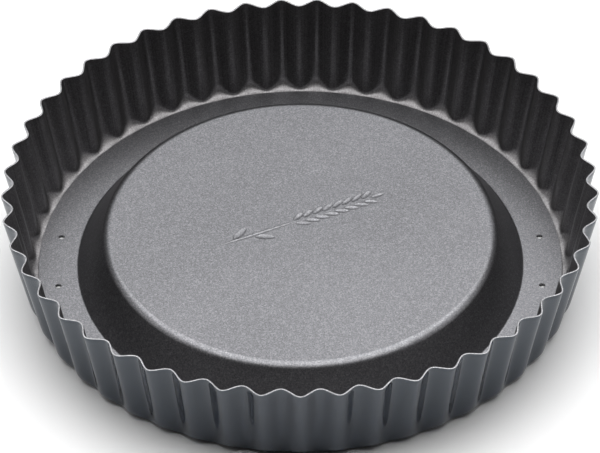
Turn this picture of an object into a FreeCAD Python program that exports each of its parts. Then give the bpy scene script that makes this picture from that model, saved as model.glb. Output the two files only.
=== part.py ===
import FreeCAD, Part
import math
import os

import Sketcher

# Loose-base fluted tart pan, made of two sheet-metal pressings: a fluted ring with a narrow ledge
# at the bottom, and a loose base with a raised centre that lies on the ledge and lifts straight out.
# Millimetres, +Z up. The origin is on the pan's axis, in the plane the pan stands on.

doc = FreeCAD.newDocument("tart_pan")

# Driving dimensions: name, value, meaning
DIMENSIONS = [
    ("rim_diameter", 280.0, "outside of the rim, crest to crest"),
    ("rim_flute_depth", 4.6, "crest to valley at the rim"),
    ("foot_diameter", 260.4, "outside of the crests, wall line run on down to the standing plane"),
    ("foot_flute_depth", 2.8, "crest to valley, wall lines run on down to the standing plane"),
    ("flute_count", 49, "flutes round the wall"),
    ("flute_phase", 0.4, "angle of the front crest from -Y towards +X, degrees"),
    ("wall_height", 48.2, "standing plane to rim"),
    ("ring_sheet", 0.8, "sheet thickness of the ring"),
    ("crest_corner_radius", 8.5, "outside corner between ledge and wall at a crest"),
    ("valley_corner_radius", 3.0, "outside corner between ledge and wall at a valley"),
    ("ledge_overlap", 5.0, "how far the ledge runs in under the loose base"),
    ("edge_clearance", 0.5, "loose base edge to the start of a valley's corner"),
    ("seat_clearance", 0.15, "loose base down to the ring where it comes nearest"),
    ("base_sheet", 0.8, "sheet thickness of the loose base"),
    ("border_width", 18.7, "flat border of the loose base, edge to foot of the slope"),
    ("slope_run", 13.5, "plan width of the slope"),
    ("centre_height", 20.4, "raised centre above the flat border"),
    ("centre_edge_radius", 5.0, "outside corner round the raised centre"),
    ("slope_foot_radius", 1.2, "inside corner at the foot of the slope"),
    ("hole_diameter", 3.0, "small holes in the flat border"),
    ("hole_inset", 8.8, "hole centre to the edge of the loose base"),
    ("hole_half_angle", 8.54, "direction of a hole either side of the X axis, degrees"),
]

# Sizes that follow from them: name, formula, meaning
DERIVED = [
    ("crest_lean", "atan((rim_diameter - foot_diameter) / 2 / wall_height)",
     "a crest's angle from upright"),
    ("valley_lean", "atan(((rim_diameter - foot_diameter) / 2 - rim_flute_depth + foot_flute_depth)"
                    " / wall_height)", "a valley's angle from upright"),
    ("crest_corner_start", "foot_diameter / 2 - crest_corner_radius"
                           " * (1 - sin(crest_lean)) / cos(crest_lean)",
     "radius where a crest's corner leaves the ledge"),
    ("valley_corner_start", "foot_diameter / 2 - foot_flute_depth - valley_corner_radius"
                            " * (1 - sin(valley_lean)) / cos(valley_lean)",
     "radius where a valley's corner leaves the ledge"),
    ("base_radius", "valley_corner_start - edge_clearance", "edge of the loose base"),
    ("ledge_radius", "base_radius - ledge_overlap", "opening inside the ledge"),
    ("corner_reach", "max(0; base_radius - crest_corner_start)",
     "how far the loose base lies over a crest's corner"),
    ("base_underside", "seat_clearance + crest_corner_radius"
                       " - sqrt((crest_corner_radius - ring_sheet) ^ 2 - corner_reach ^ 2)",
     "height of the flat border's underside"),
    ("slope_foot", "base_radius - border_width", "radius at the foot of the slope"),
    ("centre_radius", "slope_foot - slope_run", "radius at the top of the slope"),
    ("hole_circle_radius", "base_radius - hole_inset", "circle that the holes lie on"),
]

FLUTE_STATIONS = 8          # steps from one valley over the crest to the next
TRIM = 1.0                  # what the ledge is drawn thicker underneath, before it is cut level


def make_sizes():
    sheet = doc.addObject("Spreadsheet::Sheet", "sizes")
    rows = [(name, str(value), meaning) for name, value, meaning in DIMENSIONS]
    rows += [(name, "=" + formula, meaning) for name, formula, meaning in DERIVED]
    for row, (name, content, meaning) in enumerate(rows, start=1):
        sheet.set("A%d" % row, name)
        sheet.set("B%d" % row, content)
        sheet.set("C%d" % row, meaning)
        sheet.setAlias("B%d" % row, name)
        doc.recompute()
    return sheet


sizes = make_sizes()


def measure(formula):
    """The present value of a formula such as sizes.rim_diameter / 2."""
    value = sizes.evalExpression(formula)
    return float(getattr(value, "Value", value))


# Sketching

START, END, CENTRE = 1, 2, 3        # points of a sketch line or arc
ORIGIN = (-1, START)
X_AXIS, Y_AXIS = -1, -2


def new_sketch(body, name, role):
    plane = next(plane for plane in body.Origin.OriginFeatures if plane.Role == role)
    sketch = body.newObject("Sketcher::SketchObject", name)
    sketch.AttachmentSupport = [(plane, "")]
    sketch.MapMode = "FlatFace"
    return sketch


def add_size(sketch, kind, *places, name, formula):
    """A dimension of the sketch, bound to the spreadsheet by its formula."""
    index = sketch.addConstraint(Sketcher.Constraint(kind, *places, measure(formula)))
    sketch.renameConstraint(index, name)
    sketch.setExpression("Constraints." + name, formula)


def point(across, up):
    return FreeCAD.Vector(across, up, 0)


def round_the_corner(centre, radius, angle):
    return point(centre[0] + radius * math.cos(angle), centre[1] + radius * math.sin(angle))


def add_line(sketch, start, end):
    return sketch.addGeometry(Part.LineSegment(start, end))


def add_arc(sketch, centre, radius, start, end):
    circle = Part.Circle(point(*centre), FreeCAD.Vector(0, 0, 1), radius)
    return sketch.addGeometry(Part.ArcOfCircle(circle, start, end))


def add_corner_point(sketch, across, up, *lines):
    """Construction point where lines would meet if the corner were sharp."""
    corner = sketch.addGeometry(Part.Point(point(across, up)), True)
    for line in lines:
        sketch.addConstraint(Sketcher.Constraint("PointOnObject", corner, START, line))
    return corner


def constrain(sketch, kind, *many):
    for places in many:
        sketch.addConstraint(Sketcher.Constraint(kind, *places))


UP, DOWN = math.pi / 2, -math.pi / 2


# Fluted ring

def add_wall_profile(sketch, drop):
    """The sheet cut through the pan's axis: ledge, corner and leaning wall. drop is the formula of
    how far the cut is from a crest (0) towards a valley (1). The ledge starts a little too thick
    underneath, because the whole underside is cut level at the end."""
    foot = "sizes.foot_diameter / 2 - sizes.foot_flute_depth * " + drop
    rim = "sizes.rim_diameter / 2 - sizes.rim_flute_depth * " + drop
    corner = ("sizes.crest_corner_radius - (sizes.crest_corner_radius"
              " - sizes.valley_corner_radius) * " + drop)
    slant = ("sizes.flute_count * (sizes.rim_flute_depth + sizes.foot_flute_depth)"
             " / (sizes.rim_diameter + sizes.foot_diameter) * 2 * sqrt(%s - (%s) ^ 2)" % (drop, drop))
    wall_sheet = "sizes.ring_sheet * sqrt(1 + (%s) ^ 2)" % slant

    foot_x, rim_x, height = measure(foot), measure(rim), measure("sizes.wall_height")
    sheet, ledge = measure("sizes.ring_sheet"), measure("sizes.ledge_radius")
    radius = measure(corner)
    lean = math.atan((rim_x - foot_x) / height)
    width = measure(wall_sheet) / math.cos(lean)
    turn = (1 - math.sin(lean)) / math.cos(lean)
    outer = (foot_x - radius * turn, radius)
    inner_foot = foot_x - width + sheet * math.tan(lean)
    inner = (inner_foot - (radius - sheet) * turn, radius)

    ledge_under = add_line(sketch, point(ledge, -TRIM), point(outer[0], -TRIM))
    trimmed_side = add_line(sketch, point(outer[0], -TRIM), point(outer[0], 0))
    outer_arc = add_arc(sketch, outer, radius, DOWN, -lean)
    outer_wall = add_line(sketch, round_the_corner(outer, radius, -lean), point(rim_x, height))
    rim_edge = add_line(sketch, point(rim_x, height), point(rim_x - width, height))
    inner_wall = add_line(sketch, point(rim_x - width, height),
                          round_the_corner(inner, radius - sheet, -lean))
    inner_arc = add_arc(sketch, inner, radius - sheet, DOWN, -lean)
    ledge_top = add_line(sketch, point(inner[0], sheet), point(ledge, sheet))
    opening = add_line(sketch, point(ledge, sheet), point(ledge, -TRIM))
    foot_corner = add_corner_point(sketch, foot_x, 0, outer_wall, X_AXIS)

    constrain(sketch, "Horizontal", (ledge_under,), (rim_edge,), (ledge_top,))
    constrain(sketch, "Vertical", (opening,), (trimmed_side,),
              (outer_arc, START, outer_arc, CENTRE))
    constrain(sketch, "Parallel", (outer_wall, inner_wall))
    constrain(sketch, "PointOnObject", (trimmed_side, END, X_AXIS))
    constrain(sketch, "Coincident", (outer_wall, END, rim_edge, START),
              (rim_edge, END, inner_wall, START), (ledge_top, END, opening, START),
              (opening, END, ledge_under, START), (ledge_under, END, trimmed_side, START),
              (trimmed_side, END, outer_arc, START))
    constrain(sketch, "Tangent", (outer_arc, END, outer_wall, START),
              (inner_wall, END, inner_arc, END), (inner_arc, START, ledge_top, START))
    sketch.addConstraint(Sketcher.Constraint("DistanceY", trimmed_side, START, trimmed_side, END,
                                             TRIM))
    add_size(sketch, "DistanceX", *ORIGIN, opening, START, name="ledge",
             formula="sizes.ledge_radius")
    add_size(sketch, "DistanceY", *ORIGIN, opening, START, name="ledge_sheet",
             formula="sizes.ring_sheet")
    add_size(sketch, "DistanceX", *ORIGIN, foot_corner, START, name="foot", formula=foot)
    add_size(sketch, "DistanceX", *ORIGIN, rim_edge, START, name="rim", formula=rim)
    add_size(sketch, "DistanceY", *ORIGIN, rim_edge, START, name="wall_height",
             formula="sizes.wall_height")
    add_size(sketch, "Distance", inner_wall, START, outer_wall, name="wall_sheet",
             formula=wall_sheet)
    add_size(sketch, "Radius", outer_arc, name="outer_corner", formula=corner)
    add_size(sketch, "Radius", inner_arc, name="inner_corner",
             formula=corner + " - sizes.ring_sheet")


def make_fluted_ring():
    """One flute is lofted from valley to valley through sketches that stand round the axis. The
    flute is repeated all round, and the underside of the ledge is cut level."""
    body = doc.addObject("PartDesign::Body", "fluted_ring")
    sections = []
    for station in range(FLUTE_STATIONS + 1):
        section = new_sketch(body, "flute_section_%d" % station, "XZ_Plane")
        share = station / FLUTE_STATIONS
        section.AttachmentOffset = FreeCAD.Placement(
            FreeCAD.Vector(), FreeCAD.Rotation(FreeCAD.Vector(0, 1, 0), 1))
        section.setExpression(".AttachmentOffset.Rotation.Angle",
                              "sizes.flute_phase - 90 + 360 / sizes.flute_count * (%g - 0.5)" % share)
        add_wall_profile(section, "(1 + cos(%g)) / 2" % (360 * share))
        sections.append(section)
    doc.recompute()
    flute = body.newObject("PartDesign::AdditiveLoft", "flute")
    flute.Profile = sections[0]
    flute.Sections = sections[1:]
    flute.Ruled = False
    doc.recompute()
    flutes = body.newObject("PartDesign::PolarPattern", "flutes")
    flutes.Originals = [flute]
    flutes.Axis = (sections[0], ["V_Axis"])
    flutes.Angle = 360
    flutes.setExpression("Occurrences", "sizes.flute_count")
    body.Tip = flutes
    doc.recompute()
    disc = new_sketch(body, "level_disc", "XY_Plane")
    round_disc = disc.addGeometry(Part.Circle(point(0, 0), FreeCAD.Vector(0, 0, 1),
                                              measure("sizes.rim_diameter / 2")))
    constrain(disc, "Coincident", (round_disc, CENTRE, *ORIGIN))
    add_size(disc, "Diameter", round_disc, name="disc", formula="sizes.rim_diameter")
    level = body.newObject("PartDesign::Pocket", "level_underside")
    level.Profile = disc
    level.Type = "ThroughAll"
    body.Tip = level
    doc.recompute()
    if abs(body.Shape.optimalBoundingBox().ZMin) > 1e-3:
        raise RuntimeError("the underside is not level with the standing plane")
    return finished(body, sections + [disc])


# Loose base

def add_pressing_profile(sketch):
    """Half section of the pressing, from the axis to the edge."""
    sheet = measure("sizes.base_sheet")
    underside = measure("sizes.base_underside")
    border = underside + sheet
    centre = border + measure("sizes.centre_height")
    edge, foot = measure("sizes.base_radius"), measure("sizes.slope_foot")
    brow = measure("sizes.centre_radius")
    brow_radius, foot_radius = measure("sizes.centre_edge_radius"), measure("sizes.slope_foot_radius")
    face = math.atan2(measure("sizes.slope_run"), measure("sizes.centre_height"))
    back = math.pi + face
    turn = math.tan((math.pi / 2 - face) / 2)
    brow_centre = (brow - brow_radius * turn, centre - brow_radius)
    foot_centre = (foot + foot_radius * turn, border + foot_radius)
    under_brow, under_foot = brow_radius - sheet, foot_radius + sheet

    centre_top = add_line(sketch, point(0, centre), round_the_corner(brow_centre, brow_radius, UP))
    brow_arc = add_arc(sketch, brow_centre, brow_radius, face, UP)
    slope = add_line(sketch, round_the_corner(brow_centre, brow_radius, face),
                     round_the_corner(foot_centre, foot_radius, back))
    foot_arc = add_arc(sketch, foot_centre, foot_radius, back, 2 * math.pi + DOWN)
    border_top = add_line(sketch, round_the_corner(foot_centre, foot_radius, DOWN),
                          point(edge, border))
    edge_cut = add_line(sketch, point(edge, border), point(edge, underside))
    border_under = add_line(sketch, point(edge, underside),
                            round_the_corner(foot_centre, under_foot, DOWN))
    foot_arc_under = add_arc(sketch, foot_centre, under_foot, back, 2 * math.pi + DOWN)
    slope_under = add_line(sketch, round_the_corner(foot_centre, under_foot, back),
                           round_the_corner(brow_centre, under_brow, face))
    brow_arc_under = add_arc(sketch, brow_centre, under_brow, face, UP)
    centre_under = add_line(sketch, round_the_corner(brow_centre, under_brow, UP),
                            point(0, centre - sheet))
    axis = add_line(sketch, point(0, centre - sheet), point(0, centre))
    brow_corner = add_corner_point(sketch, brow, centre, centre_top, slope)
    foot_corner = add_corner_point(sketch, foot, border, border_top, slope)

    constrain(sketch, "Horizontal", (centre_top,), (border_top,), (border_under,), (centre_under,))
    constrain(sketch, "Vertical", (edge_cut,), (axis,))
    constrain(sketch, "PointOnObject", (axis, START, Y_AXIS))
    constrain(sketch, "Coincident", (border_top, END, edge_cut, START),
              (edge_cut, END, border_under, START), (centre_under, END, axis, START),
              (axis, END, centre_top, START), (brow_arc, CENTRE, brow_arc_under, CENTRE),
              (foot_arc, CENTRE, foot_arc_under, CENTRE))
    constrain(sketch, "Tangent", (centre_top, END, brow_arc, END), (brow_arc, START, slope, START),
              (slope, END, foot_arc, START), (foot_arc, END, border_top, START),
              (border_under, END, foot_arc_under, END),
              (foot_arc_under, START, slope_under, START),
              (slope_under, END, brow_arc_under, START),
              (brow_arc_under, END, centre_under, START))
    add_size(sketch, "DistanceX", *ORIGIN, edge_cut, END, name="edge",
             formula="sizes.base_radius")
    add_size(sketch, "DistanceY", *ORIGIN, edge_cut, END, name="underside",
             formula="sizes.base_underside")
    add_size(sketch, "DistanceY", edge_cut, END, edge_cut, START, name="border_sheet",
             formula="sizes.base_sheet")
    add_size(sketch, "DistanceY", axis, START, axis, END, name="centre_sheet",
             formula="sizes.base_sheet")
    add_size(sketch, "DistanceX", *ORIGIN, brow_corner, START, name="centre_radius",
             formula="sizes.centre_radius")
    add_size(sketch, "DistanceX", *ORIGIN, foot_corner, START, name="slope_foot",
             formula="sizes.slope_foot")
    add_size(sketch, "DistanceY", foot_corner, START, brow_corner, START, name="centre_height",
             formula="sizes.centre_height")
    add_size(sketch, "Radius", brow_arc, name="centre_edge_radius",
             formula="sizes.centre_edge_radius")
    add_size(sketch, "Radius", foot_arc, name="slope_foot_radius",
             formula="sizes.slope_foot_radius")


def add_hole_circles(sketch):
    """Four holes, one either side of the X axis at both ends of it."""
    radius = measure("sizes.hole_diameter / 2")
    across = "sizes.hole_circle_radius * cos(sizes.hole_half_angle)"
    along = "sizes.hole_circle_radius * sin(sizes.hole_half_angle)"
    circles = [sketch.addGeometry(Part.Circle(point(side * measure(across), end * measure(along)),
                                              FreeCAD.Vector(0, 0, 1), radius))
               for side, end in ((1, 1), (1, -1), (-1, 1), (-1, -1))]
    right_back, right_front, left_back, left_front = circles
    constrain(sketch, "Symmetric", (right_back, CENTRE, right_front, CENTRE, X_AXIS),
              (right_back, CENTRE, left_back, CENTRE, Y_AXIS),
              (right_front, CENTRE, left_front, CENTRE, Y_AXIS))
    constrain(sketch, "Equal", (right_back, right_front), (right_back, left_back),
              (right_back, left_front))
    add_size(sketch, "Diameter", right_back, name="hole_diameter", formula="sizes.hole_diameter")
    add_size(sketch, "DistanceX", *ORIGIN, right_back, CENTRE, name="across", formula=across)
    add_size(sketch, "DistanceY", *ORIGIN, right_back, CENTRE, name="along", formula=along)


def make_loose_base():
    body = doc.addObject("PartDesign::Body", "loose_base")
    profile = new_sketch(body, "pressing_profile", "XZ_Plane")
    add_pressing_profile(profile)
    pressing = body.newObject("PartDesign::Revolution", "pressing")
    pressing.Profile = profile
    pressing.ReferenceAxis = (profile, ["V_Axis"])
    pressing.Angle = 360
    doc.recompute()
    uncut_volume = pressing.Shape.Volume
    circles = new_sketch(body, "hole_circles", "XY_Plane")
    add_hole_circles(circles)
    holes = body.newObject("PartDesign::Pocket", "holes")
    holes.Profile = circles
    holes.Type = "ThroughAll"
    holes.Midplane = True
    body.Tip = holes
    doc.recompute()
    cut_away = uncut_volume - body.Shape.Volume
    four_holes = 4 * math.pi * measure("sizes.hole_diameter / 2") ** 2 * measure("sizes.base_sheet")
    if abs(cut_away - four_holes) > 0.01 * four_holes:
        raise RuntimeError("the holes took away %.3f mm3, not %.3f" % (cut_away, four_holes))
    return finished(body, [profile, circles])


def finished(body, sketches):
    """The body under its own name, once its sketches are known to be sound."""
    body.Label = body.Name
    doc.recompute()
    for sketch in sketches:
        if not sketch.FullyConstrained:
            raise RuntimeError(sketch.Name + " is not fully constrained")
    return body


def export(bodies):
    for item in doc.Objects:
        if "Invalid" in item.State or "Error" in item.State:
            raise RuntimeError("%s failed: %s" % (item.Name, item.State))
    for body in bodies:
        if body.Shape.isNull() or not body.Shape.isValid() or len(body.Shape.Solids) != 1:
            raise RuntimeError(body.Label + " is not one sound solid")
    os.makedirs("parts", exist_ok=True)
    for body in bodies:
        body.Shape.exportStep("parts/%s.step" % body.Label)
        box = body.Shape.optimalBoundingBox()
        print("%s: %.0f mm3, %.1f x %.1f mm, z %.2f to %.2f"
              % (body.Label, body.Shape.Volume, box.XLength, box.YLength, box.ZMin, box.ZMax))


export([make_fluted_ring(), make_loose_base()])
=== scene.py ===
import math

import bmesh
import bpy
from mathutils import Matrix, Vector


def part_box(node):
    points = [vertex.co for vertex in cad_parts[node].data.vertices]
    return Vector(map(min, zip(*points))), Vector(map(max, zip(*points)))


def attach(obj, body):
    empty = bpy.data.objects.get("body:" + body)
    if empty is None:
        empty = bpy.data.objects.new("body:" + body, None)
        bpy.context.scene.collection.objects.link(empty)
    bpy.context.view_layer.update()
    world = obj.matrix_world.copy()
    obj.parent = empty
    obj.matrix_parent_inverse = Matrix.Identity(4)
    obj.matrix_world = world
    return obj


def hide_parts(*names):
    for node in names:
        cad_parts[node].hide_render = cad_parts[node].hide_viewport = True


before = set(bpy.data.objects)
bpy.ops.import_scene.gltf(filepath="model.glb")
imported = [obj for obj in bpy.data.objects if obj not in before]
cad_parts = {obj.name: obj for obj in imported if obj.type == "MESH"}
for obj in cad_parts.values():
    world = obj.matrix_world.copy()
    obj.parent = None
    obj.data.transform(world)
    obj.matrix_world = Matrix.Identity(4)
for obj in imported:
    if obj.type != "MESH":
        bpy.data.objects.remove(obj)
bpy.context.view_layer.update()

mm = 0.001
sharpCorner = math.radians(60)          # a bevel takes only corners sharper than this


def deselectAll():
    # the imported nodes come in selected, so this runs before each new piece too
    if bpy.context.mode != "OBJECT":
        bpy.ops.object.mode_set(mode="OBJECT")
    bpy.ops.object.select_all(action="DESELECT")


def selectOnly(piece):
    deselectAll()
    piece.select_set(True)
    bpy.context.view_layer.objects.active = piece


def startEditing(piece):
    selectOnly(piece)
    bpy.ops.object.mode_set(mode="EDIT")


def pick(kind, test):
    # in edit mode: selects the vertices, edges or faces whose place passes the test
    bpy.ops.mesh.select_mode(type=kind)
    bpy.ops.mesh.select_all(action="DESELECT")
    piece = bpy.context.edit_object
    mesh = bmesh.from_edit_mesh(piece.data)
    if kind == "VERT":
        for vert in mesh.verts:
            vert.select_set(test(vert.co))
    else:
        for edge in mesh.edges:
            edge.select_set(all(test(vert.co) for vert in edge.verts))
    mesh.select_flush_mode()
    bmesh.update_edit_mesh(piece.data)


def fromAxis(co):
    return math.hypot(co.x, co.y)


def applyModifier(piece, kind, **settings):
    modifier = piece.modifiers.new(kind.title(), kind)
    for key, value in settings.items():
        setattr(modifier, key, value)
    bpy.context.view_layer.objects.active = piece
    bpy.ops.object.modifier_apply(modifier=modifier.name)


def namePiece(name):
    piece = bpy.context.active_object
    piece.name = name
    piece.data.name = name
    return piece


def settle(piece):
    # its place goes into the mesh, so the object is at the origin, unturned and unscaled
    selectOnly(piece)
    bpy.ops.object.transform_apply(location=True, rotation=True, scale=True)
    deselectAll()


def smooth(piece, angle):
    selectOnly(piece)
    bpy.ops.object.shade_smooth_by_angle(angle=angle)
    deselectAll()


flutedRing = {
    "flutes": 49,
    "frontCrest": math.radians(0.4),    # how far the front crest is turned from -Y
    "rimRadius": 140.0 * mm,
    "rimDepth": 4.9 * mm,               # crest to valley at the rim
    "footRadius": 130.2 * mm,           # where a crest's wall line meets the table
    "footDepth": 2.8 * mm,
    "bow": 0.42,                        # below 1 the flutes deepen early on their way up
    "crestCorner": 8.5 * mm,            # round corner from ledge to wall, at a crest
    "valleyCorner": 3.0 * mm,
    "ledgeRadius": 119.36 * mm,         # the open middle of the floor
    "sheet": 0.8 * mm,
    "ledgeRows": (0.55, 1.0),           # shares of the ledge's width
    "cornerRows": 4,
    "wallRows": (0.34, 0.56, 0.78, 1.0),    # shares of the height
    "smoothing": 1.5,                   # subdividing softens a flute to two thirds
    "levelBand": 0.2 * mm,              # all this near the rim is cut level with it
    "rimBevel": 0.16 * mm,
    "smoothAngle": math.radians(40),
}


def wallPlace(ring, height, share, row):
    # radius and height of the outer face in half section; share is 1 at a crest, 0 at a valley
    rim = ring["rimRadius"] - (1 - share) * ring["rimDepth"]
    foot = ring["footRadius"] - (1 - share) * ring["footDepth"]
    corner = share * ring["crestCorner"] + (1 - share) * ring["valleyCorner"]
    lean = math.atan((rim - foot) / height)
    start = foot - corner * math.tan((math.pi / 2 - lean) / 2)
    kind, amount = row
    if kind == "ledge":
        return ring["ledgeRadius"] + amount * (start - ring["ledgeRadius"]), 0
    if kind == "corner":
        turn = amount * (math.pi / 2 - lean)
        return start + corner * math.sin(turn), corner * (1 - math.cos(turn))
    bow = (amount ** ring["bow"] - amount) * (ring["rimDepth"] - ring["footDepth"])
    return foot + amount * height * math.tan(lean) - (1 - share) * bow, amount * height


def flutePlaces(ring, height, row):
    # a row's places at its crests, flanks and valleys, before it is subdivided
    crest, valley = (wallPlace(ring, height, share, row) for share in (1, 0))
    flank = tuple((a + b) / 2 for a, b in zip(crest, valley))
    swing = tuple((a - b) / 2 * ring["smoothing"] for a, b in zip(crest, valley))
    return {"crest": (flank[0] + swing[0], flank[1] + swing[1]), "flank": flank,
            "valley": (flank[0] - swing[0], flank[1] - swing[1])}


def columnKind(ring, co):
    # four columns to a flute, counted from the front crest
    column = round((math.atan2(co.y, co.x) / (2 * math.pi) + 0.25) * 4 * ring["flutes"])
    return ("crest", "flank", "valley", "flank")[column % 4]


def makeRing(ring, height):
    # the ledge's edge is extruded outwards and up, row by row
    deselectAll()
    bpy.ops.mesh.primitive_circle_add(vertices=4 * ring["flutes"], radius=ring["ledgeRadius"],
                                      fill_type="NOTHING", location=(0, 0, 0),
                                      rotation=(0, 0, ring["frontCrest"]))
    piece = namePiece("flutedRing")
    rows = [("ledge", 0.0)] + [("ledge", share) for share in ring["ledgeRows"]]
    rows += [("corner", (n + 1) / ring["cornerRows"]) for n in range(ring["cornerRows"])]
    rows += [("wall", share) for share in ring["wallRows"]]

    startEditing(piece)
    bpy.ops.mesh.select_all(action="SELECT")
    for before, row in zip(rows, rows[1:]):
        bpy.ops.mesh.extrude_edges_move()
        was, now = flutePlaces(ring, height, before), flutePlaces(ring, height, row)
        mesh = bmesh.from_edit_mesh(piece.data)
        made = [vert for vert in mesh.verts if vert.select]
        for which in now:
            for vert in made:
                vert.select_set(columnKind(ring, vert.co) == which)
            mesh.select_flush_mode()
            bmesh.update_edit_mesh(piece.data)
            grow = now[which][0] / was[which][0]
            bpy.ops.transform.resize(value=(grow, grow, 1), center_override=(0, 0, 0))
            bpy.ops.transform.translate(value=(0, 0, now[which][1] - was[which][1]))
        for vert in made:
            vert.select_set(True)
        mesh.select_flush(True)
        bmesh.update_edit_mesh(piece.data)
    deselectAll()
    return piece


def finishRing(piece, ring, height):
    settle(piece)
    applyModifier(piece, "SUBSURF", levels=2, render_levels=2)
    applyModifier(piece, "SOLIDIFY", thickness=ring["sheet"], offset=-1, use_even_offset=True,
                  material_offset=1, material_offset_rim=2)
    startEditing(piece)
    pick("VERT", lambda co: co.z > height - ring["levelBand"])
    bpy.ops.transform.resize(value=(1, 1, 0), center_override=(0, 0, height))
    deselectAll()
    applyModifier(piece, "BEVEL", width=ring["rimBevel"], segments=2, limit_method="ANGLE",
                  angle_limit=sharpCorner)
    smooth(piece, ring["smoothAngle"])


looseBase = {
    "radius": 124.36 * mm,
    "sheet": 0.8 * mm,
    "borderWidth": 18.7 * mm,
    "slopeRun": 13.5 * mm,
    "centreHeight": 20.4 * mm,
    "browRadius": 5.0 * mm,             # round the raised centre
    "footRadius": 1.2 * mm,             # at the foot of the slope
    "edgeBevel": 0.15 * mm,
    "sides": 224,
    "browSteps": 12,
    "footSteps": 4,
    "levelBand": 0.1 * mm,              # how near to a level counts as on it
    "smoothAngle": math.radians(30),
    "flatRadius": 80 * mm,              # the centre is flat this far out
    "flatBand": 0.001 * mm,
    "holeRadius": 1.5 * mm,
    "holeSides": 32,
    "punchLength": 6 * mm,
    "holePlaces": [(side * 114.28 * mm, way * 17.16 * mm) for side in (-1, 1) for way in (-1, 1)],
}


def makeBase(base, top):
    # a disc: the centre is inset from the border and pulled up, then both folds are rounded
    deselectAll()
    border = top - base["centreHeight"]
    bpy.ops.mesh.primitive_circle_add(vertices=base["sides"], radius=base["radius"],
                                      fill_type="NGON", location=(0, 0, border))
    piece = namePiece("looseBase")
    settle(piece)
    foot = base["radius"] - base["borderWidth"]
    brow = foot - base["slopeRun"]
    slope = math.atan2(base["centreHeight"], base["slopeRun"])
    reach = math.tan(slope / 2)
    near = base["levelBand"]

    startEditing(piece)
    bpy.ops.mesh.select_mode(type="FACE")
    bpy.ops.mesh.select_all(action="SELECT")
    bpy.ops.mesh.inset(thickness=base["borderWidth"])
    bpy.ops.mesh.extrude_region_move()
    bpy.ops.transform.resize(value=(brow / foot, brow / foot, 1), center_override=(0, 0, 0))
    bpy.ops.transform.translate(value=(0, 0, base["centreHeight"]))
    pick("EDGE", lambda co: co.z > top - near)
    bpy.ops.mesh.bevel(offset=base["browRadius"] * reach, segments=base["browSteps"],
                       profile=0.5, affect="EDGES")
    pick("EDGE", lambda co: co.z < border + near and fromAxis(co) < foot + near)
    bpy.ops.mesh.bevel(offset=base["footRadius"] * reach, segments=base["footSteps"],
                       profile=0.5, affect="EDGES")
    deselectAll()
    applyModifier(piece, "SOLIDIFY", thickness=base["sheet"], offset=-1, use_even_offset=True)
    applyModifier(piece, "BEVEL", width=base["edgeBevel"], segments=2, limit_method="ANGLE",
                  angle_limit=sharpCorner)
    return piece


def cutAway(piece, cutters, crossing):
    # crossing is for cutters that run through each other
    deselectAll()
    for cutter in cutters:
        cutter.select_set(True)
    bpy.context.view_layer.objects.active = cutters[0]
    bpy.ops.object.join()
    tool = bpy.context.active_object
    settle(tool)
    applyModifier(piece, "BOOLEAN", operation="DIFFERENCE", solver="EXACT", object=tool,
                  use_self=crossing)
    bpy.data.objects.remove(tool)


def punchHoles(piece, base, border):
    cutters = []
    for x, y in base["holePlaces"]:
        bpy.ops.mesh.primitive_cylinder_add(vertices=base["holeSides"],
                                            radius=base["holeRadius"],
                                            depth=base["punchLength"], location=(x, y, border))
        cutters.append(bpy.context.active_object)
    cutAway(piece, cutters, False)


wheatEar = {
    "middle": (0.0, 6.5 * mm),
    "turn": math.radians(25.4),
    "length": 88 * mm,
    "depth": 0.40 * mm,
    "lift": 0.02 * mm,                  # keeps the cutters' widest line off the flat
    "kernel": (3.6 * mm, 1.45 * mm),    # half length, half width
    "pairs": 8,
    "pitch": 5.1 * mm,                  # from one pair of kernels to the next
    "firstPair": 0.6,                   # in pitches from the stem's end
    "kernelAside": 2.6 * mm,
    "kernelLean": math.radians(27),
    "tipBack": 3.2 * mm,                # the last kernel's middle, back from the tip
    "stemGap": 6 * mm,
    "stemWidth": 1.0 * mm,
    "leaves": ((14 * mm, 1), (24 * mm, -1)),    # up the stem, and on which side
    "leafAside": 3.4 * mm,
    "leafLean": math.radians(30),
    "leafSize": 1.35,                   # in kernels
}


def pressOrnament(piece, ear, top):
    # a plain ear of wheat, pressed a little way into the flat centre
    deselectAll()
    cutters = []
    alongX, alongY = math.cos(ear["turn"]), math.sin(ear["turn"])
    kernelLong, kernelWide = ear["kernel"]

    def addDent(along, aside, lean, halfLong, halfWide):
        place = (ear["middle"][0] + along * alongX - aside * alongY,
                 ear["middle"][1] + along * alongY + aside * alongX, top + ear["lift"])
        bpy.ops.mesh.primitive_uv_sphere_add(segments=24, ring_count=12, radius=1,
                                             location=place, rotation=(0, 0, ear["turn"] + lean))
        dent = bpy.context.active_object
        dent.scale = (halfLong, halfWide, ear["depth"] + ear["lift"])
        cutters.append(dent)

    start, tip = -ear["length"] / 2, ear["length"] / 2
    stemEnd = tip - ear["pairs"] * ear["pitch"] - ear["stemGap"]
    for n in range(ear["pairs"]):
        for side in (-1, 1):
            addDent(stemEnd + (n + ear["firstPair"]) * ear["pitch"], side * ear["kernelAside"],
                    side * ear["kernelLean"], kernelLong, kernelWide)
    addDent(tip - ear["tipBack"], 0, 0, kernelLong, kernelWide)
    addDent((start + stemEnd) / 2, 0, 0, (stemEnd - start) / 2, ear["stemWidth"])
    for along, side in ear["leaves"]:
        addDent(start + along, side * ear["leafAside"], side * ear["leafLean"],
                kernelLong * ear["leafSize"], kernelWide * ear["leafSize"])
    cutAway(piece, cutters, True)


def keepFlat(piece, base, top):
    # the pressed lines end in a crisp edge, and the flat round them stays flat
    startEditing(piece)
    pick("EDGE", lambda co: abs(co.z - top) < base["flatBand"]
         and fromAxis(co) < base["flatRadius"])
    bpy.ops.mesh.mark_sharp()
    deselectAll()
    applyModifier(piece, "WEIGHTED_NORMAL", keep_sharp=True)


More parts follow.
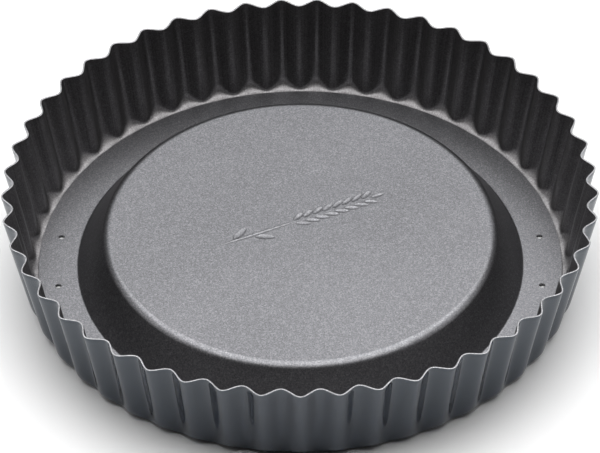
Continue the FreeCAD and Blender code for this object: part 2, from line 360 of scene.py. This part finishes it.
def addNode(tree, kind, **settings):
    node = tree.nodes.new("ShaderNode" + kind)
    for key, value in settings.items():
        setattr(node, key, value)
    return node


def fill(tree, socket, given):
    # another node's output is linked, and a plain value is set
    if isinstance(given, bpy.types.NodeSocket):
        tree.links.new(given, socket)
    else:
        socket.default_value = given


def feed(tree, node, **values):
    # sockets are named here without their blanks
    sockets = {socket.name.replace(" ", ""): socket for socket in reversed(node.inputs)
               if socket.enabled}
    for key, value in values.items():
        fill(tree, sockets[key], value)


def calc(tree, operation, *values):
    node = addNode(tree, "Math", operation=operation)
    for socket, value in zip(node.inputs, values):
        fill(tree, socket, value)
    return node.outputs[0]


def between(tree, value, low, high):
    # 0 below low, 1 above high, and a soft step from one to the other
    node = addNode(tree, "MapRange", interpolation_type="SMOOTHSTEP")
    for socket, given in zip(node.inputs, (value, low, high)):
        fill(tree, socket, given)
    return node.outputs[0]


def blendColour(tree, amount, first, second):
    node = addNode(tree, "Mix", data_type="RGBA")
    for number, given in ((0, amount), (6, first), (7, second)):    # the colour sockets
        fill(tree, node.inputs[number], given)
    return node.outputs[2]


def noise(tree, vector, scale, detail, roughness):
    node = addNode(tree, "TexNoise")
    feed(tree, node, Vector=vector, Scale=scale, Detail=detail, Roughness=roughness)
    return node.outputs["Fac"]


def newGroup(name, inputs, outputs):
    group = bpy.data.node_groups.new(name, "ShaderNodeTree")
    for label, kind, value in inputs:
        socket = group.interface.new_socket(label, in_out="INPUT", socket_type=kind)
        socket.default_value = value
    for label, kind in outputs:
        group.interface.new_socket(label, in_out="OUTPUT", socket_type=kind)
    source = group.nodes.new("NodeGroupInput")
    target = group.nodes.new("NodeGroupOutput")
    return group, source.outputs, target.inputs


def placeGroup(tree, group, **values):
    node = tree.nodes.new("ShaderNodeGroup")
    node.node_tree = group
    feed(tree, node, **values)
    return node.outputs


speckle = {
    "grainRange": (0.3, 0.7),           # noise values from the darkest to the lightest grain
    "grainDetail": (3.0, 0.65),
    "grainShare": 0.6,
    "flakeRange": (0.55, 1.0),          # only the brighter cells count as flakes
    "flakeShare": 0.4,
    "driftScale": 14.0,                 # slow drift of tone over the sheet
    "peelScale": 0.45,                  # of the grain's scale
    "peelShare": 0.6,
    "speckShare": 0.4,
}


def makeFlakeGroup(look):
    # the speckle of a sprayed non-stick coat: fine grain, bright flakes and a slow drift
    group, given, wanted = newGroup(
        "sprayedFlake",
        [("Dark", "NodeSocketColor", (0.1, 0.1, 0.1, 1)),
         ("Light", "NodeSocketColor", (0.3, 0.3, 0.3, 1)),
         ("Grain", "NodeSocketFloat", 1500.0),
         ("Roughness", "NodeSocketFloat", 0.4),
         ("Spread", "NodeSocketFloat", 0.15),
         ("Unevenness", "NodeSocketFloat", 0.1)],
        [("Colour", "NodeSocketColor"), ("Roughness", "NodeSocketFloat"),
         ("Height", "NodeSocketFloat")])
    where = addNode(group, "TexCoord").outputs["Object"]
    fine = noise(group, where, given["Grain"], *look["grainDetail"])
    cells = addNode(group, "TexVoronoi", feature="F1")
    feed(group, cells, Vector=where, Scale=given["Grain"])
    shade = addNode(group, "SeparateColor")
    group.links.new(cells.outputs["Color"], shade.inputs[0])
    flakes = between(group, shade.outputs[0], *look["flakeRange"])
    grains = between(group, fine, *look["grainRange"])
    speck = calc(group, "ADD", calc(group, "MULTIPLY", grains, look["grainShare"]),
                 calc(group, "MULTIPLY", flakes, look["flakeShare"]))
    drift = noise(group, where, look["driftScale"], 2.0, 0.5)
    tone = calc(group, "MULTIPLY", calc(group, "SUBTRACT", drift, 0.5), given["Unevenness"])
    amount = addNode(group, "Clamp")
    group.links.new(calc(group, "ADD", speck, tone), amount.inputs[0])
    group.links.new(blendColour(group, amount.outputs[0], given["Dark"], given["Light"]),
                    wanted["Colour"])
    swing = calc(group, "MULTIPLY", calc(group, "SUBTRACT", fine, 0.5), given["Spread"])
    group.links.new(calc(group, "ADD", given["Roughness"], swing), wanted["Roughness"])
    peel = noise(group, where, calc(group, "MULTIPLY", given["Grain"], look["peelScale"]),
                 2.0, 0.5)
    group.links.new(calc(group, "ADD", calc(group, "MULTIPLY", peel, look["peelShare"]),
                         calc(group, "MULTIPLY", speck, look["speckShare"])),
                    wanted["Height"])
    return group


drawMark = {
    "range": (0.35, 0.7),
    "detail": (3.0, 0.6),
}


def makeMarkGroup(look):
    # faint upright marks that drawing the sheet leaves on the wall
    group, given, wanted = newGroup(
        "drawMarks",
        [("Count", "NodeSocketFloat", 300.0), ("Rise", "NodeSocketFloat", 12.0)],
        [("Mask", "NodeSocketFloat")])
    where = addNode(group, "SeparateXYZ")
    group.links.new(addNode(group, "TexCoord").outputs["Object"], where.inputs[0])
    x, y, z = where.outputs
    out = calc(group, "SQRT", calc(group, "ADD", calc(group, "POWER", x, 2.0),
                                   calc(group, "POWER", y, 2.0)))
    joined = addNode(group, "CombineXYZ")
    feed(group, joined,
         X=calc(group, "MULTIPLY", calc(group, "DIVIDE", x, out), given["Count"]),
         Y=calc(group, "MULTIPLY", calc(group, "DIVIDE", y, out), given["Count"]),
         Z=calc(group, "MULTIPLY", z, given["Rise"]))
    marks = noise(group, joined.outputs[0], 1.0, *look["detail"])
    group.links.new(between(group, marks, *look["range"]), wanted["Mask"])
    return group


def newMaterial(name):
    material = bpy.data.materials.new(name)
    material.use_nodes = True
    tree = material.node_tree
    shader = next(node for node in tree.nodes if node.type == "BSDF_PRINCIPLED")
    return material, tree, shader


def newCoat(name, look, flake):
    # every finish of the pan starts as this speckle, with its own values
    material, tree, shader = newMaterial(name)
    coat = placeGroup(tree, flake, Dark=look["dark"], Light=look["light"], Grain=look["grain"],
                      Roughness=look["roughness"], Spread=look["spread"],
                      Unevenness=look["unevenness"])
    tree.links.new(coat["Colour"], shader.inputs["Base Color"])
    tree.links.new(coat["Roughness"], shader.inputs["Roughness"])
    shader.inputs["Metallic"].default_value = look["metallic"]
    return material, tree, shader, coat


def addBump(tree, shader, height, look):
    bump = addNode(tree, "Bump")
    feed(tree, bump, Height=height, Strength=look["bump"], Distance=look["bumpDepth"])
    tree.links.new(bump.outputs[0], shader.inputs["Normal"])


baseCoat = {
    "dark": (0.105, 0.105, 0.110, 1),
    "light": (0.255, 0.255, 0.268, 1),
    "grain": 1700.0,
    "metallic": 0.98,
    "roughness": 0.365,
    "spread": 0.15,
    "bump": 0.16,
    "bumpDepth": 0.15 * mm,
    "unevenness": 0.30,
}


def makeBaseCoat(look, flake):
    material, tree, shader, coat = newCoat("baseCoating", look, flake)
    addBump(tree, shader, coat["Height"], look)
    return material


ringInside = {
    "dark": (0.096, 0.092, 0.094, 1),
    "light": (0.255, 0.250, 0.255, 1),
    "grain": 1700.0,
    "metallic": 0.98,
    "roughness": 0.41,
    "spread": 0.15,
    "bump": 0.16,
    "bumpDepth": 0.12 * mm,
    "unevenness": 0.30,
    "markColour": (0.30, 0.29, 0.29, 1),
    "markShare": 0.35,
    "markCount": 260.0,
    "markRise": 9.0,
}


def makeRingInside(look, flake, marks):
    material, tree, shader, coat = newCoat("ringInnerCoating", look, flake)
    mask = placeGroup(tree, marks, Count=look["markCount"], Rise=look["markRise"])["Mask"]
    colour = blendColour(tree, calc(tree, "MULTIPLY", mask, look["markShare"]), coat["Colour"],
                         look["markColour"])
    tree.links.new(colour, shader.inputs["Base Color"])
    addBump(tree, shader, coat["Height"], look)
    return material


ringOutside = {
    "dark": (0.006, 0.009, 0.016, 1),
    "light": (0.018, 0.025, 0.040, 1),
    "grain": 900.0,
    "metallic": 0.0,
    "ior": 1.72,
    "glossTint": (0.84, 0.92, 1.0, 1),  # the lacquer is a little blue
    "roughness": 0.05,
    "spread": 0.04,
    "bump": 0.05,
    "bumpDepth": 0.08 * mm,
    "unevenness": 0.5,
    "gloss": 0.9,                       # share of the coat's roughness that is left
    "markRoughness": 0.03,
    "markHeight": 0.8,
    "markCount": 200.0,
    "markRise": 6.0,
}


def makeRingOutside(look, flake, marks):
    material, tree, shader, coat = newCoat("ringOuterCoating", look, flake)
    mask = placeGroup(tree, marks, Count=look["markCount"], Rise=look["markRise"])["Mask"]
    rough = calc(tree, "ADD", calc(tree, "MULTIPLY", coat["Roughness"], look["gloss"]),
                 calc(tree, "MULTIPLY", mask, look["markRoughness"]))
    tree.links.new(rough, shader.inputs["Roughness"])
    shader.inputs["IOR"].default_value = look["ior"]
    shader.inputs["Specular Tint"].default_value = look["glossTint"]
    height = calc(tree, "ADD", coat["Height"], calc(tree, "MULTIPLY", mask, look["markHeight"]))
    addBump(tree, shader, height, look)
    return material


cutEdge = {
    "dark": (0.16, 0.16, 0.165, 1),
    "light": (0.46, 0.46, 0.47, 1),
    "grain": 2600.0,
    "metallic": 1.0,
    "roughness": 0.42,
    "spread": 0.2,
    "bump": 0.3,
    "bumpDepth": 0.05 * mm,
    "unevenness": 0.5,
}


def makeCutEdge(look, flake):
    material, tree, shader, coat = newCoat("cutSteelEdge", look, flake)
    addBump(tree, shader, coat["Height"], look)
    return material


ringLow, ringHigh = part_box("fluted_ring")
baseLow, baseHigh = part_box("loose_base")
print("ring, mm:", [round(v / mm, 2) for v in (*ringLow, *ringHigh)])
print("base, mm:", [round(v / mm, 2) for v in (*baseLow, *baseHigh)])

flake = makeFlakeGroup(speckle)
marks = makeMarkGroup(drawMark)

ring = makeRing(flutedRing, ringHigh.z)
for material in (makeRingOutside(ringOutside, flake, marks),
                 makeRingInside(ringInside, flake, marks), makeCutEdge(cutEdge, flake)):
    ring.data.materials.append(material)
finishRing(ring, flutedRing, ringHigh.z)
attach(ring, "ring")
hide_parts("fluted_ring")
print("fluted ring:", len(ring.data.vertices), "vertices")

base = makeBase(looseBase, baseHigh.z)
base.data.materials.append(makeBaseCoat(baseCoat, flake))
punchHoles(base, looseBase, baseHigh.z - looseBase["centreHeight"])
pressOrnament(base, wheatEar, baseHigh.z)
smooth(base, looseBase["smoothAngle"])
keepFlat(base, looseBase, baseHigh.z)
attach(base, "base")
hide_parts("loose_base")
print("loose base:", len(base.data.vertices), "vertices")


floorLook = {
    "size": 12.0,
    "darker": (0.87, 0.87, 0.87, 1),
    "lighter": (0.90, 0.90, 0.90, 1),
    "patchScale": 3.0,
    "patchRange": (0.3, 0.7),
    "roughness": 0.7,
    "specular": 0.2,
}


def makeFloor(look):
    deselectAll()
    bpy.ops.mesh.primitive_plane_add(size=look["size"], location=(0, 0, 0))
    floor = namePiece("floor")
    material, tree, shader = newMaterial("paleFloor")
    where = addNode(tree, "TexCoord").outputs["Object"]
    patches = between(tree, noise(tree, where, look["patchScale"], 2.0, 0.5),
                      *look["patchRange"])
    tree.links.new(blendColour(tree, patches, look["darker"], look["lighter"]),
                   shader.inputs["Base Color"])
    shader.inputs["Roughness"].default_value = look["roughness"]
    shader.inputs["Specular IOR Level"].default_value = look["specular"]
    floor.data.materials.append(material)


lights = {
    "backLight": {"place": (0.0, 2.1, 1.75), "size": (3.4, 1.2), "watts": 15.0,
                  "colour": (0.97, 0.98, 1.0)},
    "topLight": {"place": (0.0, 0.46, 2.4), "size": (3.6, 2.9), "watts": 118.0,
                 "colour": (1.0, 1.0, 1.0)},
    "leftLight": {"place": (-2.2, 0.2, 1.6), "size": (2.0, 1.2), "watts": 8.0,
                  "colour": (1.0, 1.0, 1.0)},
    "rightLight": {"place": (2.2, 0.2, 1.6), "size": (2.0, 1.2), "watts": 8.0,
                   "colour": (1.0, 1.0, 1.0)},
}
roomLight = {"colour": (1.0, 0.92, 0.93, 1), "strength": 0.03}


def addLight(name, place, size, watts, colour):
    # a soft box, turned towards the pan
    data = bpy.data.lights.new(name, "AREA")
    data.shape = "RECTANGLE"
    data.size, data.size_y = size
    data.energy = watts
    data.color = colour
    lamp = bpy.data.objects.new(name, data)
    bpy.context.scene.collection.objects.link(lamp)
    lamp.location = place
    lamp.rotation_euler = (-Vector(place)).to_track_quat("-Z", "Y").to_euler()


def makeWorld(colour, strength):
    world = bpy.data.worlds.new("softRoom")
    bpy.context.scene.world = world
    world.use_nodes = True
    sky = world.node_tree.nodes["Background"]
    sky.inputs["Color"].default_value = colour
    sky.inputs["Strength"].default_value = strength


cameraLook = {
    "place": (0.01427, -1.53608, 1.41723),
    "pitchDown": math.radians(42.208),
    "yaw": 0.009314,
    "roll": -0.007465,
    "lens": 263.555,
    "sensor": 36.0,
}


def placeCamera(look):
    lens = bpy.data.cameras.new("camera")
    lens.lens = look["lens"]
    lens.sensor_width = look["sensor"]
    camera = bpy.data.objects.new("camera", lens)
    bpy.context.scene.collection.objects.link(camera)
    turned = (Matrix.Rotation(look["yaw"], 4, "Z")
              @ Matrix.Rotation(math.pi / 2 - look["pitchDown"], 4, "X")
              @ Matrix.Rotation(look["roll"], 4, "Z"))
    camera.matrix_world = Matrix.Translation(look["place"]) @ turned
    bpy.context.scene.camera = camera


makeFloor(floorLook)
for name, light in lights.items():
    addLight(name, **light)
makeWorld(**roomLight)
placeCamera(cameraLook)
bpy.context.scene.view_settings.view_transform = "Standard"
print("floor, lights and camera placed")
